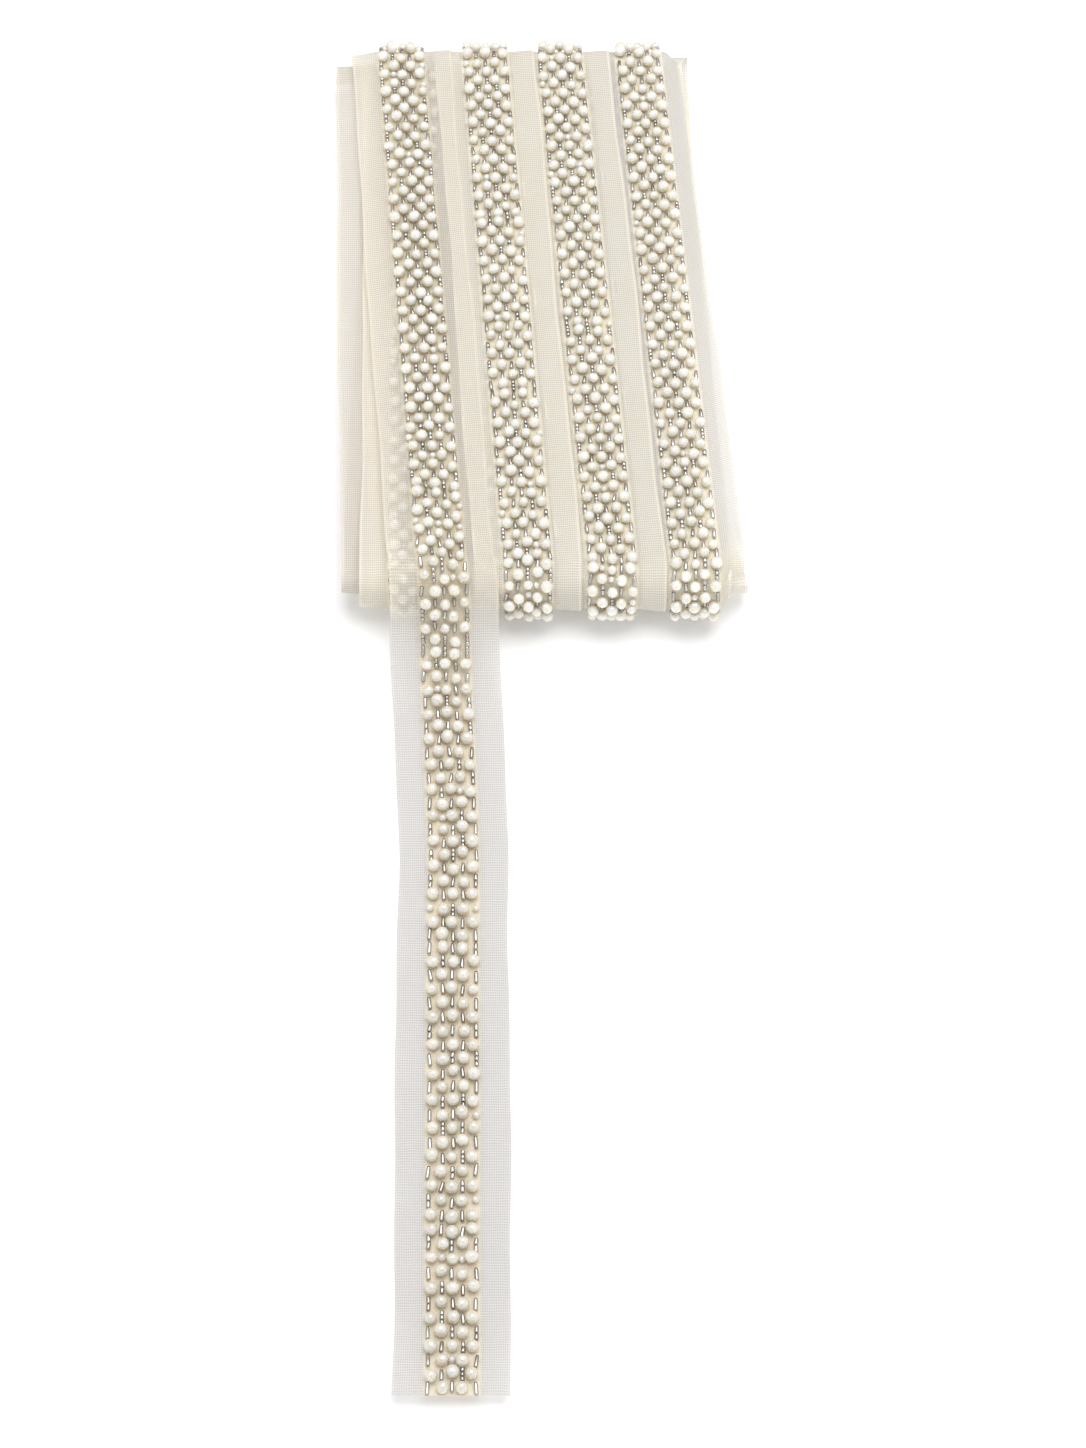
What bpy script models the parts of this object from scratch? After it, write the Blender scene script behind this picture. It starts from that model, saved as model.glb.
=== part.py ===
"""Pearl and bugle bead trim on a sheer net ribbon, wound flat into a hank with one loose end.

Metres, +Z up. The hank lies on its back along +Y, and its loose end runs towards -Y. The origin is
the middle of the footprint, on the surface that the trim lies on.
"""

import math
from collections import namedtuple

import bmesh
import bpy

MM = 0.001

# The trim: a ribbon with a raised band of beads along its middle.
TRIM_WIDTH = 26.5 * MM
BAND_WIDTH = 12.4 * MM
PEARL_HEIGHT = 3.05 * MM
BUGLE_HEIGHT = 1.6 * MM
BAND_EDGE_HEIGHT = 0.9 * MM
BEAD_COLUMNS = 5
COLUMN_PITCH = 2.33 * MM
WOUND_ROW_PITCH = 3.0 * MM
LOOSE_ROW_PITCH = 3.5 * MM
GAP = 0.3 * MM

# The hank: the ribbon goes round two folds, tight at the far end and fuller at the near end.
NEAR_FOLD_Y = 18.9 * MM
FAR_FOLD_Y = 178.9 * MM
NEAR_RADIUS = 7.5 * MM
FAR_RADIUS = 4.5 * MM
BACK_Z = PEARL_HEIGHT
INNER_DEPTH = 3.3 * MM
PLY_STEP = 0.6 * MM
EDGE_STEP = 0.1 * MM
CORNER_PULL = 5.5 * MM

# The loose end: it leaves the front of the hank, drops over the near fold and lies flat.
SHEET = 1.0 * MM
LOOSE_START_Y = NEAR_FOLD_Y + 14.0 * MM
LOOSE_END_Y = -(FAR_FOLD_Y + FAR_RADIUS + PEARL_HEIGHT)
DROP_ANGLE = math.radians(130.0)
LANDING_RADIUS = 40.0 * MM
END_LIFT = 3.5 * MM
END_LIFT_LENGTH = 30.0 * MM

# Where each front pass crosses the far and the near fold, from the left. Pass 1 is the last one
# wound, lies over the margin of pass 2, and goes on as the loose end.
Pass = namedtuple("Pass", "name far_x near_x")
FRONT = (
    Pass("1", -35.5 * MM, -22.6 * MM),
    Pass("2", -13.1 * MM, -1.3 * MM),
    Pass("3", 6.9 * MM, 19.3 * MM),
    Pass("4", 27.8 * MM, 39.7 * MM),
)
# Two earlier passes whose left margins show beside pass 1.
FIRST_TURN = Pass("first", -39.7 * MM, -34.0 * MM)
SECOND_TURN = Pass("second", -31.6 * MM, -29.4 * MM)
FOURTH_TURN_NEAR_X = 35.4 * MM
THIRD_TURN_FAR_X = -5.6 * MM

# The loose end's middle line on the surface, from the near fold outwards.
LooseLine = namedtuple("LooseLine", "y x")
LOOSE_LINE = (
    LooseLine(LOOSE_START_Y, -23.6 * MM),
    LooseLine(10.0 * MM, -21.6 * MM),
    LooseLine(-60.0 * MM, -19.0 * MM),
    LooseLine(-130.0 * MM, -18.4 * MM),
    LooseLine(LOOSE_END_Y, -17.8 * MM),
)

# Half of the angle between the hank's flat back and its sloping front.
LEAN = math.atan((NEAR_RADIUS - FAR_RADIUS) / (FAR_FOLD_Y - NEAR_FOLD_Y))
FRONT_NORMAL = math.pi / 2 - 2 * LEAN

LoopPoint = namedtuple("LoopPoint", "side share y z normal_y normal_z")


def mix(a, b, share):
    return a + (b - a) * share


def smooth(share):
    """0 to 1 with a soft start and end."""
    share = min(1.0, max(0.0, share))
    return share * share * (3 - 2 * share)


def clear_scene():
    for obj in list(bpy.data.objects):
        bpy.data.objects.remove(obj, do_unlink=True)


def material(name, colour, roughness, metallic=0.0):
    made = bpy.data.materials.new(name)
    made.use_nodes = True
    shader = made.node_tree.nodes["Principled BSDF"]
    shader.inputs["Base Color"].default_value = (*colour, 1.0)
    shader.inputs["Roughness"].default_value = roughness
    shader.inputs["Metallic"].default_value = metallic
    return made


def split(corners, peaks):
    """The triangles of a four-cornered face, creased beside its peaks, or the face if it has none."""
    a, b, c, d = corners
    if peaks[0] or peaks[2]:
        return (a, b, d), (b, c, d)
    if peaks[1] or peaks[3]:
        return (a, b, c), (a, c, d)
    return (corners,)


def loft(name, sections, finish, is_peak=None, smooth_angle=35.0):
    """A closed solid through sections, each a closed loop of as many points, with its ends capped."""
    mesh = bpy.data.meshes.new(name)
    bm = bmesh.new()
    loops = [[bm.verts.new(point) for point in section] for section in sections]
    count = len(loops[0])
    for row, (here, after) in enumerate(zip(loops, loops[1:])):
        for i in range(count):
            j = (i + 1) % count
            corners = (here[i], here[j], after[j], after[i])
            places = ((row, i), (row, j), (row + 1, j), (row + 1, i))
            peaks = [is_peak is not None and is_peak(*place) for place in places]
            for face in split(corners, peaks):
                bm.faces.new(face)
    bm.faces.new(loops[0])
    bm.faces.new(loops[-1])
    bmesh.ops.recalc_face_normals(bm, faces=bm.faces)
    bm.to_mesh(mesh)
    bm.free()
    mesh.materials.append(finish)
    mesh.shade_smooth()
    mesh.set_sharp_from_angle(angle=math.radians(smooth_angle))
    obj = bpy.data.objects.new(name, mesh)
    bpy.context.scene.collection.objects.link(obj)
    return obj


# The loop that the ribbon follows round the hank


def on_fold(centre_y, radius, angle, side, share, offset=0.0):
    """A point on a fold. The angle turns from +Y through +Z, and offset is outwards."""
    normal_y, normal_z = math.cos(angle), math.sin(angle)
    reach = radius + offset
    y = centre_y + reach * normal_y
    z = BACK_Z + radius + reach * normal_z
    return LoopPoint(side, share, y, z, normal_y, normal_z)


def on_flat(side, share, offset=0.0):
    """A point on the front or the back. The front runs far to near, and the back near to far."""
    angle = FRONT_NORMAL if side == "front" else -math.pi / 2
    far = on_fold(FAR_FOLD_Y, FAR_RADIUS, angle, side, share, offset)
    near = on_fold(NEAR_FOLD_Y, NEAR_RADIUS, angle, side, share, offset)
    start, end = (far, near) if side == "front" else (near, far)
    y, z = mix(start.y, end.y, share), mix(start.z, end.z, share)
    return LoopPoint(side, share, y, z, start.normal_y, start.normal_z)


def near_fold(share, offset=0.0):
    """From the front, at 0, to the back, at 1."""
    angle = mix(FRONT_NORMAL, 1.5 * math.pi, share)
    return on_fold(NEAR_FOLD_Y, NEAR_RADIUS, angle, "near", share, offset)


def far_fold(share, offset=0.0):
    """From the back, at 0, to the front, at 1."""
    angle = mix(-math.pi / 2, FRONT_NORMAL, share)
    return on_fold(FAR_FOLD_Y, FAR_RADIUS, angle, "far", share, offset)


def shares(count, first=0.0, last=1.0):
    """Evenly spaced values from first to last, both included."""
    return [mix(first, last, i / (count - 1)) for i in range(count)]


def across(far_x, near_x, point):
    """The X of a line from far_x to near_x that stays put on each fold."""
    if point.side == "front":
        return mix(far_x, near_x, point.share)
    if point.side == "back":
        return mix(near_x, far_x, point.share)
    return near_x if point.side == "near" else far_x


# The wound ribbon


def front_share(point):
    """0 at the far fold and 1 at the near fold, on either side of the hank."""
    return across(0.0, 1.0, point)


def fade_to_back(point):
    """1 on the front, falling to 0 where each fold reaches the back."""
    if point.side == "front":
        return 1.0
    if point.side == "back":
        return 0.0
    return smooth(1 - point.share if point.side == "near" else point.share)


def second_turn_depth(point):
    """The second turn lies deep at the far end and puffs out towards the near fold."""
    return mix(INNER_DEPTH - PLY_STEP, PLY_STEP, smooth((front_share(point) - 0.8) / 0.2))


def ridge(pass_name, point):
    """How far a pass's right margin stands up where it laps over the next pass."""
    height = PLY_STEP * fade_to_back(point)
    if pass_name == "1":
        height *= 1 - smooth((front_share(point) - 0.75) / 0.1)
    return height


def corner_pull(point):
    """How far the last pass's right margin is drawn back from the near fold."""
    return CORNER_PULL * smooth((front_share(point) - 0.85) / 0.15)


def ribbon_columns():
    """Lines along the hank, from left to right: each turns a loop point into (x, offset, pull back)."""
    half = TRIM_WIDTH / 2

    def edge(item, side, nudge=0.0):
        return lambda point: across(item.far_x, item.near_x, point) + side * half + nudge

    first_left = edge(FIRST_TURN, -1)
    second_left = edge(SECOND_TURN, -1)
    top_left = edge(FRONT[0], -1)
    clear = 1.0 * MM

    def visible_left(point):
        return min(second_left(point), top_left(point) - clear)

    def top_depth(point):
        return second_turn_depth(point) * smooth((front_share(point) - 0.88) / 0.12)

    columns = [
        lambda point: (first_left(point), -INNER_DEPTH, 0.0),
        lambda point: (visible_left(point) - EDGE_STEP, -INNER_DEPTH, 0.0),
        lambda point: (visible_left(point), -second_turn_depth(point), 0.0),
        lambda point: (top_left(point) - EDGE_STEP, -second_turn_depth(point), 0.0),
        lambda point: (top_left(point), -top_depth(point), 0.0),
    ]

    def beads_side(item):
        beads = BAND_WIDTH / 2 + GAP
        return lambda point: (across(item.far_x, item.near_x, point) + beads, 0.0, 0.0)

    def lapped(item):
        """The three lines of a right margin: the beads' side, the raised edge and the ply under it."""
        right = edge(item, 1)
        return [
            beads_side(item),
            lambda point: (right(point), ridge(item.name, point), 0.0),
            lambda point: (right(point) + EDGE_STEP, 0.0, 0.0),
        ]

    for item in FRONT[:-1]:
        columns += lapped(item)
    last_right = edge(FRONT[-1], 1)
    columns.append(beads_side(FRONT[-1]))
    columns.append(lambda point: (last_right(point), -PLY_STEP / 2, corner_pull(point)))
    return columns


def around(offset, front=13, near=11, back=5, far=9):
    """Loop points all the way round the hank, at one outward offset."""
    points = [on_flat("front", s, offset) for s in shares(front)]
    points += [near_fold(s, offset) for s in shares(near)[1:]]
    points += [on_flat("back", s, offset) for s in shares(back)[1:]]
    points += [far_fold(s, offset) for s in shares(far)[1:-1]]
    return points


def wound_ribbon(finish):
    """The turns of ribbon as one solid, with the laps, the deeper first turns and the round folds."""
    sections = []
    base = around(0.0)
    for column in ribbon_columns():
        section = []
        for point in base:
            x, offset, pull = column(point)
            y = point.y + point.normal_y * offset + pull
            z = point.z + point.normal_z * offset
            section.append((x, y, z))
        sections.append(section)
    return loft("wound_ribbon", sections, finish)


# The beadwork. A bead section's first three points are its underside and its right edge.
FIRST_COLUMN_PLACE = 3


def length_of(points):
    return sum(math.dist((a.y, a.z), (b.y, b.z)) for a, b in zip(points, points[1:]))


def rows_for(points, pitch):
    """How many rows of beads fit a path."""
    return max(3, round(length_of(points) / pitch) + 1)


def spaced(points, count):
    """Loop points at equal distances along a path."""
    step = length_of(points) / (count - 1)
    found, walked, target = [points[0]], 0.0, step
    for here, after in zip(points, points[1:]):
        leg = math.dist((here.y, here.z), (after.y, after.z))
        while len(found) < count - 1 and walked + leg >= target:
            share = (target - walked) / leg
            values = [mix(a, b, share) for a, b in zip(here[1:], after[1:])]
            side = here.side if here.side == after.side or share < 0.5 else after.side
            if here.side != after.side:
                values[0] = here.share if side == here.side else after.share
            found.append(LoopPoint(side, *values))
            target += step
        walked += leg
    return found + [points[-1]]


def is_pearl(row, place):
    """Pearls and bugles take turns, from column to column and from row to row of a bead section."""
    column = place - FIRST_COLUMN_PLACE
    return 0 <= column < BEAD_COLUMNS and (row + column) % 2 == 0


def bead_section(x, point, row):
    """Across the band: its underside, an edge, the bead columns from right to left, the other edge."""
    half = BAND_WIDTH / 2
    outline = [(-half, GAP), (half, GAP), (half, BAND_EDGE_HEIGHT)]
    for column in range(BEAD_COLUMNS):
        place = ((BEAD_COLUMNS - 1) / 2 - column) * COLUMN_PITCH
        outline.append((place, PEARL_HEIGHT if is_pearl(row, len(outline)) else BUGLE_HEIGHT))
    outline.append((-half, BAND_EDGE_HEIGHT))
    return [
        (x + across_band, point.y + point.normal_y * height, point.z + point.normal_z * height)
        for across_band, height in outline
    ]


def plain_section(x, point, height):
    """Across a band that the hank rests on: one flat face at the pearls' height."""
    half = BAND_WIDTH / 2
    outline = [(-half, GAP), (half, GAP), (half, height), (-half, height)]
    return [
        (x + across_band, point.y + point.normal_y * up, point.z + point.normal_z * up)
        for across_band, up in outline
    ]


def front_path(item):
    """From the middle of the far fold, over the front, to the middle of the near fold."""
    middle_far = math.pi / 2 / (FRONT_NORMAL + math.pi / 2)
    middle_near = (math.pi - FRONT_NORMAL) / (1.5 * math.pi - FRONT_NORMAL)
    gap_far, gap_near = (GAP / 2 / math.pi / r for r in (FAR_RADIUS, NEAR_RADIUS))
    points = [far_fold(s) for s in shares(9, middle_far + gap_far, 1.0)]
    if item.name == "1":
        start = (FAR_FOLD_Y - LOOSE_START_Y - GAP) / (FAR_FOLD_Y - NEAR_FOLD_Y)
        return points + [on_flat("front", s) for s in shares(40, 0.0, start)[1:]]
    points += [on_flat("front", s) for s in shares(40)[1:]]
    return points + [near_fold(s) for s in shares(9, 0.0, middle_near - gap_near)[1:]]


def front_band(item, finish):
    path = front_path(item)
    rows = spaced(path, rows_for(path, WOUND_ROW_PITCH))
    sections = [
        bead_section(across(item.far_x, item.near_x, point), point, row)
        for row, point in enumerate(rows)
    ]
    return loft(f"band_front_{item.name}", sections, finish, is_pearl, smooth_angle=80.0)


BackBand = namedtuple("BackBand", "name near_x far_x first last wraps_near wraps_far")


def back_bands():
    """Each pass on the back climbs from one front pass's near fold to the next one's far fold."""
    found = [
        BackBand(str(i + 1), after.near_x, before.far_x, 0.0, 1.0, True, True)
        for i, (before, after) in enumerate(zip(FRONT, FRONT[1:]))
    ]
    # Passes from earlier turns that reach the outside only near one end.
    found.append(BackBand("4", FOURTH_TURN_NEAR_X, FRONT[-1].far_x, 0.78, 1.0, False, True))
    found.append(BackBand("5", SECOND_TURN.near_x, THIRD_TURN_FAR_X, 0.0, 0.22, False, False))
    return found


def back_band(item, finish):
    """A flat-faced band on the back, which goes half-way round the folds that it wraps."""
    middle_near = (math.pi - FRONT_NORMAL) / (1.5 * math.pi - FRONT_NORMAL)
    middle_far = math.pi / 2 / (FRONT_NORMAL + math.pi / 2)
    points = []
    if item.wraps_near:
        points += [near_fold(s) for s in shares(7, middle_near + 0.01, 1.0)][:-1]
    points += [on_flat("back", s) for s in shares(5, item.first, item.last)]
    if item.wraps_far:
        points += [far_fold(s) for s in shares(7, 0.0, middle_far - 0.01)[1:]]
    sections = [
        plain_section(across(item.far_x, item.near_x, point), point, PEARL_HEIGHT)
        for point in points
    ]
    return loft(f"band_back_{item.name}", sections, finish)


# The loose end


def loose_x(y):
    """The loose end's middle line, read smoothly from its table."""
    if y >= LOOSE_LINE[0].y:
        return LOOSE_LINE[0].x
    for here, after in zip(LOOSE_LINE, LOOSE_LINE[1:]):
        if y >= after.y:
            return mix(here.x, after.x, smooth((here.y - y) / (here.y - after.y)))
    return LOOSE_LINE[-1].x


def loose_path(rise):
    """Loop points along the loose end, rise above the ribbon's own surface on the hank."""
    lift = GAP + rise
    start = (FAR_FOLD_Y - LOOSE_START_Y) / (FAR_FOLD_Y - NEAR_FOLD_Y)
    points = [on_flat("front", s, lift) for s in shares(4, start, 1.0)]
    drop_share = (DROP_ANGLE - FRONT_NORMAL) / (1.5 * math.pi - FRONT_NORMAL)
    points += [near_fold(s, lift) for s in shares(7, 0.0, drop_share)[1:]]

    top = points[-1]
    slope = DROP_ANGLE - math.pi / 2
    radius = LANDING_RADIUS - rise
    height = top.z - rise - radius * (1 - math.cos(slope))
    straight = height / math.sin(slope)
    turn_y = top.y - straight * math.cos(slope)
    turn_z = top.z - straight * math.sin(slope)
    points.append(LoopPoint("loose", 0.0, turn_y, turn_z, top.normal_y, top.normal_z))
    centre_y = turn_y + radius * math.cos(DROP_ANGLE)
    centre_z = turn_z + radius * math.sin(DROP_ANGLE)
    for angle in [mix(DROP_ANGLE, math.pi / 2, s) for s in shares(7)[1:]]:
        y = centre_y - radius * math.cos(angle)
        z = centre_z - radius * math.sin(angle)
        points.append(LoopPoint("loose", 0.0, y, z, math.cos(angle), math.sin(angle)))

    landing = points[-1].y
    for share in shares(19)[1:]:
        y = mix(landing, LOOSE_END_Y, share)
        lifted = smooth((LOOSE_END_Y + END_LIFT_LENGTH - y) / END_LIFT_LENGTH) ** 2
        points.append(LoopPoint("loose", share, y, rise + END_LIFT * lifted, 0.0, 1.0))
    return points


def edge_sway(y):
    """The net's edges aren't quite straight."""
    return 0.25 * MM * math.sin(y / (17 * MM)) + 0.15 * MM * math.sin(y / (7 * MM))


def loose_end(finish):
    sections = []
    for point in loose_path(0.0):
        x, half = loose_x(point.y), TRIM_WIDTH / 2 + edge_sway(point.y)
        outline = [(-half, 0.0), (half, 0.0), (half, SHEET), (-half, SHEET)]
        sections.append(
            [(x + a, point.y + point.normal_y * up, point.z + point.normal_z * up) for a, up in outline]
        )
    return loft("loose_end", sections, finish)


def loose_band(finish):
    """The loose end's beads, on top of its ribbon."""
    path = loose_path(SHEET)
    rows = spaced(path, rows_for(path, LOOSE_ROW_PITCH))
    sections = [bead_section(loose_x(point.y), point, row) for row, point in enumerate(rows)]
    return loft("loose_end_band", sections, finish, is_pearl, smooth_angle=80.0)


def main():
    clear_scene()
    net = material("sheer net ribbon", (0.86, 0.82, 0.72), 0.8)
    beads = material("pearl and bugle beads", (0.84, 0.81, 0.74), 0.3)
    wound_ribbon(net)
    for item in FRONT:
        front_band(item, beads)
    for item in back_bands():
        back_band(item, beads)
    loose_end(net)
    loose_band(beads)


main()
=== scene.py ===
import math
from collections import namedtuple

import bpy
import numpy as np
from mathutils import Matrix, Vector


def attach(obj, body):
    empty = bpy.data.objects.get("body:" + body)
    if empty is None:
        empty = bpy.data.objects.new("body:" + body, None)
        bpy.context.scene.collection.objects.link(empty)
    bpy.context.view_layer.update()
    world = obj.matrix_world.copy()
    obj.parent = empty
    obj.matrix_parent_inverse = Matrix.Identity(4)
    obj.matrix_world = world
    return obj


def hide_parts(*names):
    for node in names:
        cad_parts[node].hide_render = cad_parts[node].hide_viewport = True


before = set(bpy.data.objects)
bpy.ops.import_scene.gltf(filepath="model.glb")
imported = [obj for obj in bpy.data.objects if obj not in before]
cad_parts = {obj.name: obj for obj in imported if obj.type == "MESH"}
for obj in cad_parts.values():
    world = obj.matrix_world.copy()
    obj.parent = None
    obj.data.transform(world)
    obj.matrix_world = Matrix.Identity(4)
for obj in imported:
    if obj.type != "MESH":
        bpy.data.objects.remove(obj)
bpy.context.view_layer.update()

# The looks of a pearl and bugle bead trim, wound flat into a hank with one loose end.
# Sizes below are in millimetres, in the CAD model's frame, and MM turns them into metres.
MM = 0.001
DICE = np.random.default_rng(7)

# The trim
TRIM_WIDTH = 26.5
BAND_HALF = 6.2
WOUND_PEARL_RADIUS = 1.45
LOOSE_PEARL_RADIUS = 1.53
COLUMN_PITCH = 2.33
COLUMNS = 5
WOUND_ROW_PITCH = 3.0
LOOSE_ROW_PITCH = 3.5
ROW_REPEAT_SHARE = 0.06
ROWS_BEFORE_A_REPEAT = 12
ROWS_SINCE_REPEAT_AT_THE_END = 3
FIRST_ROW_SHARE = 0.4
LOOSE_PATTERN_FROM = 25
LOOSE_PATTERN_OVER = 30
SMALL_PEARL_SHARE = 0.07
SMALL_PEARL_SIZE = 0.58
WOUND_BUGLE_LENGTH = 2.2
LOOSE_BUGLE_LENGTH = 2.7
OUTER_BUGLE_EXTRA = 0.5
BUGLE_RADIUS = 0.45
OUTER_BUGLE_SHIFT = 0.75
NET_PITCH = 0.64

# How unevenly the beads are sewn on and made
PEARL_SPREAD_ALONG = 0.17
PEARL_SPREAD_ACROSS = 0.14
PEARL_SIZE_SPREAD = 0.06
PEARL_SIZE_LIMITS = (-0.2, 0.07)
PEARL_LIFT_SPREAD = 0.04
PEARL_STRETCH = (-0.1, 0.05)
PEARL_TONE_RANGE = 0.6
LAST_PEARL_INSET = 0.6
LOOSE_SIZE_OVER = 40
BUGLE_SPREAD_ALONG = 0.12
BUGLE_SPREAD_ACROSS = 0.09
BUGLE_SIZE_SPREAD = 0.04
BUGLE_TILT_SPREAD = 0.09
BUGLE_LIFT = 0.25
BUGLE_LIFT_SPREAD = 0.12
SHARES_IN_ONE_TWO_OR_THREE = (0.66, 0.22, 0.12)
SPLIT_BUGLE_EXTRA = 0.3
SHORT_BUGLE_WIDER = 1.1
BUGLE_LENGTH_SHARE = 0.94

# The loop round the hank
NEAR_FOLD_Y = 18.9
FAR_FOLD_Y = 178.9
NEAR_RADIUS = 7.5
FAR_RADIUS = 4.5
BACK_Z = 3.05
LEAN = math.atan((NEAR_RADIUS - FAR_RADIUS) / (FAR_FOLD_Y - NEAR_FOLD_Y))
FRONT_NORMAL = math.pi / 2 - 2 * LEAN

# Each leg of the winding, from the hidden start of the ribbon to its last front pass. The front runs
# far to near and the back near to far. A level is a height above the outer turns, negative for a turn
# that lies inside them, and it changes between the two shares of the leg.
Leg = namedtuple("Leg", "name side start_x end_x start_level end_level change_from change_to")
INNER = -3.3
LEADER = -3.8
WINDING = (
    Leg("V0", "front", -39.7, -34.0, LEADER, LEADER, 0.0, 1.0),
    Leg("BV0", "back", -34.0, -31.6, LEADER, INNER, 0.0, 1.0),
    Leg("U1", "front", -31.6, -29.4, INNER, -1.0, 0.78, 1.0),
    Leg("BU1", "back", -29.4, -5.6, 0.0, INNER, 0.0, 0.28),
    Leg("U2", "front", -5.6, -8.6, INNER, INNER, 0.0, 1.0),
    Leg("BU2", "back", -8.6, 10.4, INNER, INNER, 0.0, 1.0),
    Leg("U3", "front", 10.4, 12.4, INNER, INNER, 0.0, 1.0),
    Leg("BU3", "back", 12.4, 26.4, INNER, INNER, 0.0, 1.0),
    Leg("U4", "front", 26.4, 35.4, INNER, INNER, 0.0, 1.0),
    Leg("B4", "back", 35.4, 27.8, INNER, 0.0, 0.66, 0.85),
    Leg("F4", "front", 27.8, 39.7, 0.0, 0.0, 0.0, 1.0),
    Leg("B3", "back", 39.7, 6.9, 0.0, 0.0, 0.0, 1.0),
    Leg("F3", "front", 6.9, 19.3, 0.0, 0.0, 0.0, 1.0),
    Leg("B2", "back", 19.3, -13.1, 0.0, 0.0, 0.0, 1.0),
    Leg("F2", "front", -13.1, -1.3, 0.0, 0.0, 0.0, 1.0),
    Leg("B1", "back", -1.3, -35.5, 0.0, 0.0, 0.0, 1.0),
    Leg("F1", "front", -35.5, -22.6, 0.0, 0.0, 0.0, 1.0),
)
# The ribbon starts on the back, this share of the way along the leg before the first.
LEAD_IN = Leg("BV", "back", -34.0, WINDING[0].start_x, LEADER, LEADER, 0.0, 1.0)
LEAD_IN_SHARE = 0.97
# Turns above this level are on the hank's outside, and beads whose normal's z is under this at its back.
OUTER_ABOVE_LEVEL = -0.9
BACK_BELOW_NORMAL = -0.3

# How finely the route is divided: the lead-in, each leg and each fold
LEAD_IN_STEPS = 12
FLAT_STEPS = 64
FOLD_STEPS = 14

# The loose end drops from the near fold, lands on the surface and runs to its cut edge.
DROP_ANGLE = math.radians(130.0)
DROP_LEVEL = 0.3
DROP_LIFT = 2.2
LANDING_RADIUS = 40.0
LOOSE_END_Y = -186.4
FLOOR_GAP = 0.35
LOOSE_LIFT = 2.9
END_LIFT = 3.5
END_LIFT_LENGTH = 30.0
LooseLine = namedtuple("LooseLine", "y x")
LOOSE_LINE = (
    LooseLine(32.9, -23.6),
    LooseLine(10.0, -21.6),
    LooseLine(-60.0, -19.0),
    LooseLine(-130.0, -18.4),
    LooseLine(LOOSE_END_Y, -17.8),
)

# The cloth beside the beads: how far each margin stands up or hangs down, how much of the last pass the
# start of the loose end lifts, and how the right margin is pulled and curled at the hank's right side
RIGHT_RISE = 0.5
INNER_RISE = 0.25
LEFT_DROOP = 0.15
BACK_DROOP = 0.9
LAST_PASS_DROOP = 1.1
LIFT_FROM_SHARE = 0.76
LIFT_OVER_SHARE = 0.2
LIFTED_TO = 5.0
LIFTED_OVER = 7.0
CORNER_PULL = 5.5
CORNER_SHARE = 0.15
PULLED_OVER = 3.0
CURL_AT_START = 1.0
CURL_AT_END = 0.45
CURL_DOWN = 3.2
CURL_IN = 2.0
LEAST_HEIGHT = 0.12


def mix(a, b, share):
    return a + (b - a) * share


def smooth(share):
    """0 to 1 with a soft start and end, for a number or an array."""
    share = np.clip(share, 0.0, 1.0)
    return share * share * (3 - 2 * share)


# The route of the ribbon's middle line. The other values shape the cloth beside it: how far the right
# margin stands up, the left margin hangs down, the left side is lifted by what lies below, the right
# margin curls down and in, and the right margin is pulled back at a fold. The last is 0 inside the
# hank, 1 on its outside and 2 on the loose end.
Station = namedtuple("Station", "x y z normal_y normal_z rise droop lift curl pull outer")


def loop_point(side, share, level):
    """(y, z, normal_y, normal_z) on the loop: front and back are flat, near and far are folds."""
    if side in ("front", "back"):
        angle = FRONT_NORMAL if side == "front" else -math.pi / 2
        toward_near = share if side == "front" else 1 - share
        centre_y = mix(FAR_FOLD_Y, NEAR_FOLD_Y, toward_near)
        radius = mix(FAR_RADIUS, NEAR_RADIUS, toward_near)
    elif side == "near":
        angle = mix(FRONT_NORMAL, 1.5 * math.pi, share)
        centre_y, radius = NEAR_FOLD_Y, NEAR_RADIUS
    else:
        angle = mix(-math.pi / 2, FRONT_NORMAL, share)
        centre_y, radius = FAR_FOLD_Y, FAR_RADIUS
    normal_y, normal_z = math.cos(angle), math.sin(angle)
    reach = radius + level
    return centre_y + reach * normal_y, BACK_Z + radius + reach * normal_z, normal_y, normal_z


def leg_shape(leg, share):
    """(rise, droop, lift, curl, pull) for a point on a leg."""
    if leg.name.startswith(("V", "BV", "U", "BU")):
        return INNER_RISE, 0.0, 0.0, 0.0, 0.0
    rise, droop, lift, curl, pull = RIGHT_RISE, LEFT_DROOP, 0.0, 0.0, 0.0
    to_the_end = float(smooth((share - (1 - CORNER_SHARE)) / CORNER_SHARE))
    if leg.name == "F1":
        droop = LAST_PASS_DROOP
        lift = LOOSE_LIFT * float(smooth((share - LIFT_FROM_SHARE) / LIFT_OVER_SHARE))
        rise = RIGHT_RISE * (1 - to_the_end)
    if leg.name == "F4":
        rise, curl = 0.0, mix(CURL_AT_START, CURL_AT_END, share)
        pull = CORNER_PULL * to_the_end
    if leg.side == "back":
        droop = BACK_DROOP
    if leg.name == "B3":
        pull = CORNER_PULL * (1 - float(smooth(share / CORNER_SHARE)))
    return rise, droop, lift, curl, pull


def station(leg, side, share, x, level, shape_share):
    """A point on one side or fold of the loop, with the cloth shaped as on the leg given."""
    y, z, normal_y, normal_z = loop_point(side, share, level)
    outer = 1.0 if level > OUTER_ABOVE_LEVEL else 0.0
    return Station(x, y, z, normal_y, normal_z, *leg_shape(leg, shape_share), outer)


def level_at(leg, share):
    """The level of a leg, eased from its start to its end."""
    eased = float(smooth((share - leg.change_from) / (leg.change_to - leg.change_from)))
    return mix(leg.start_level, leg.end_level, eased)


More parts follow.
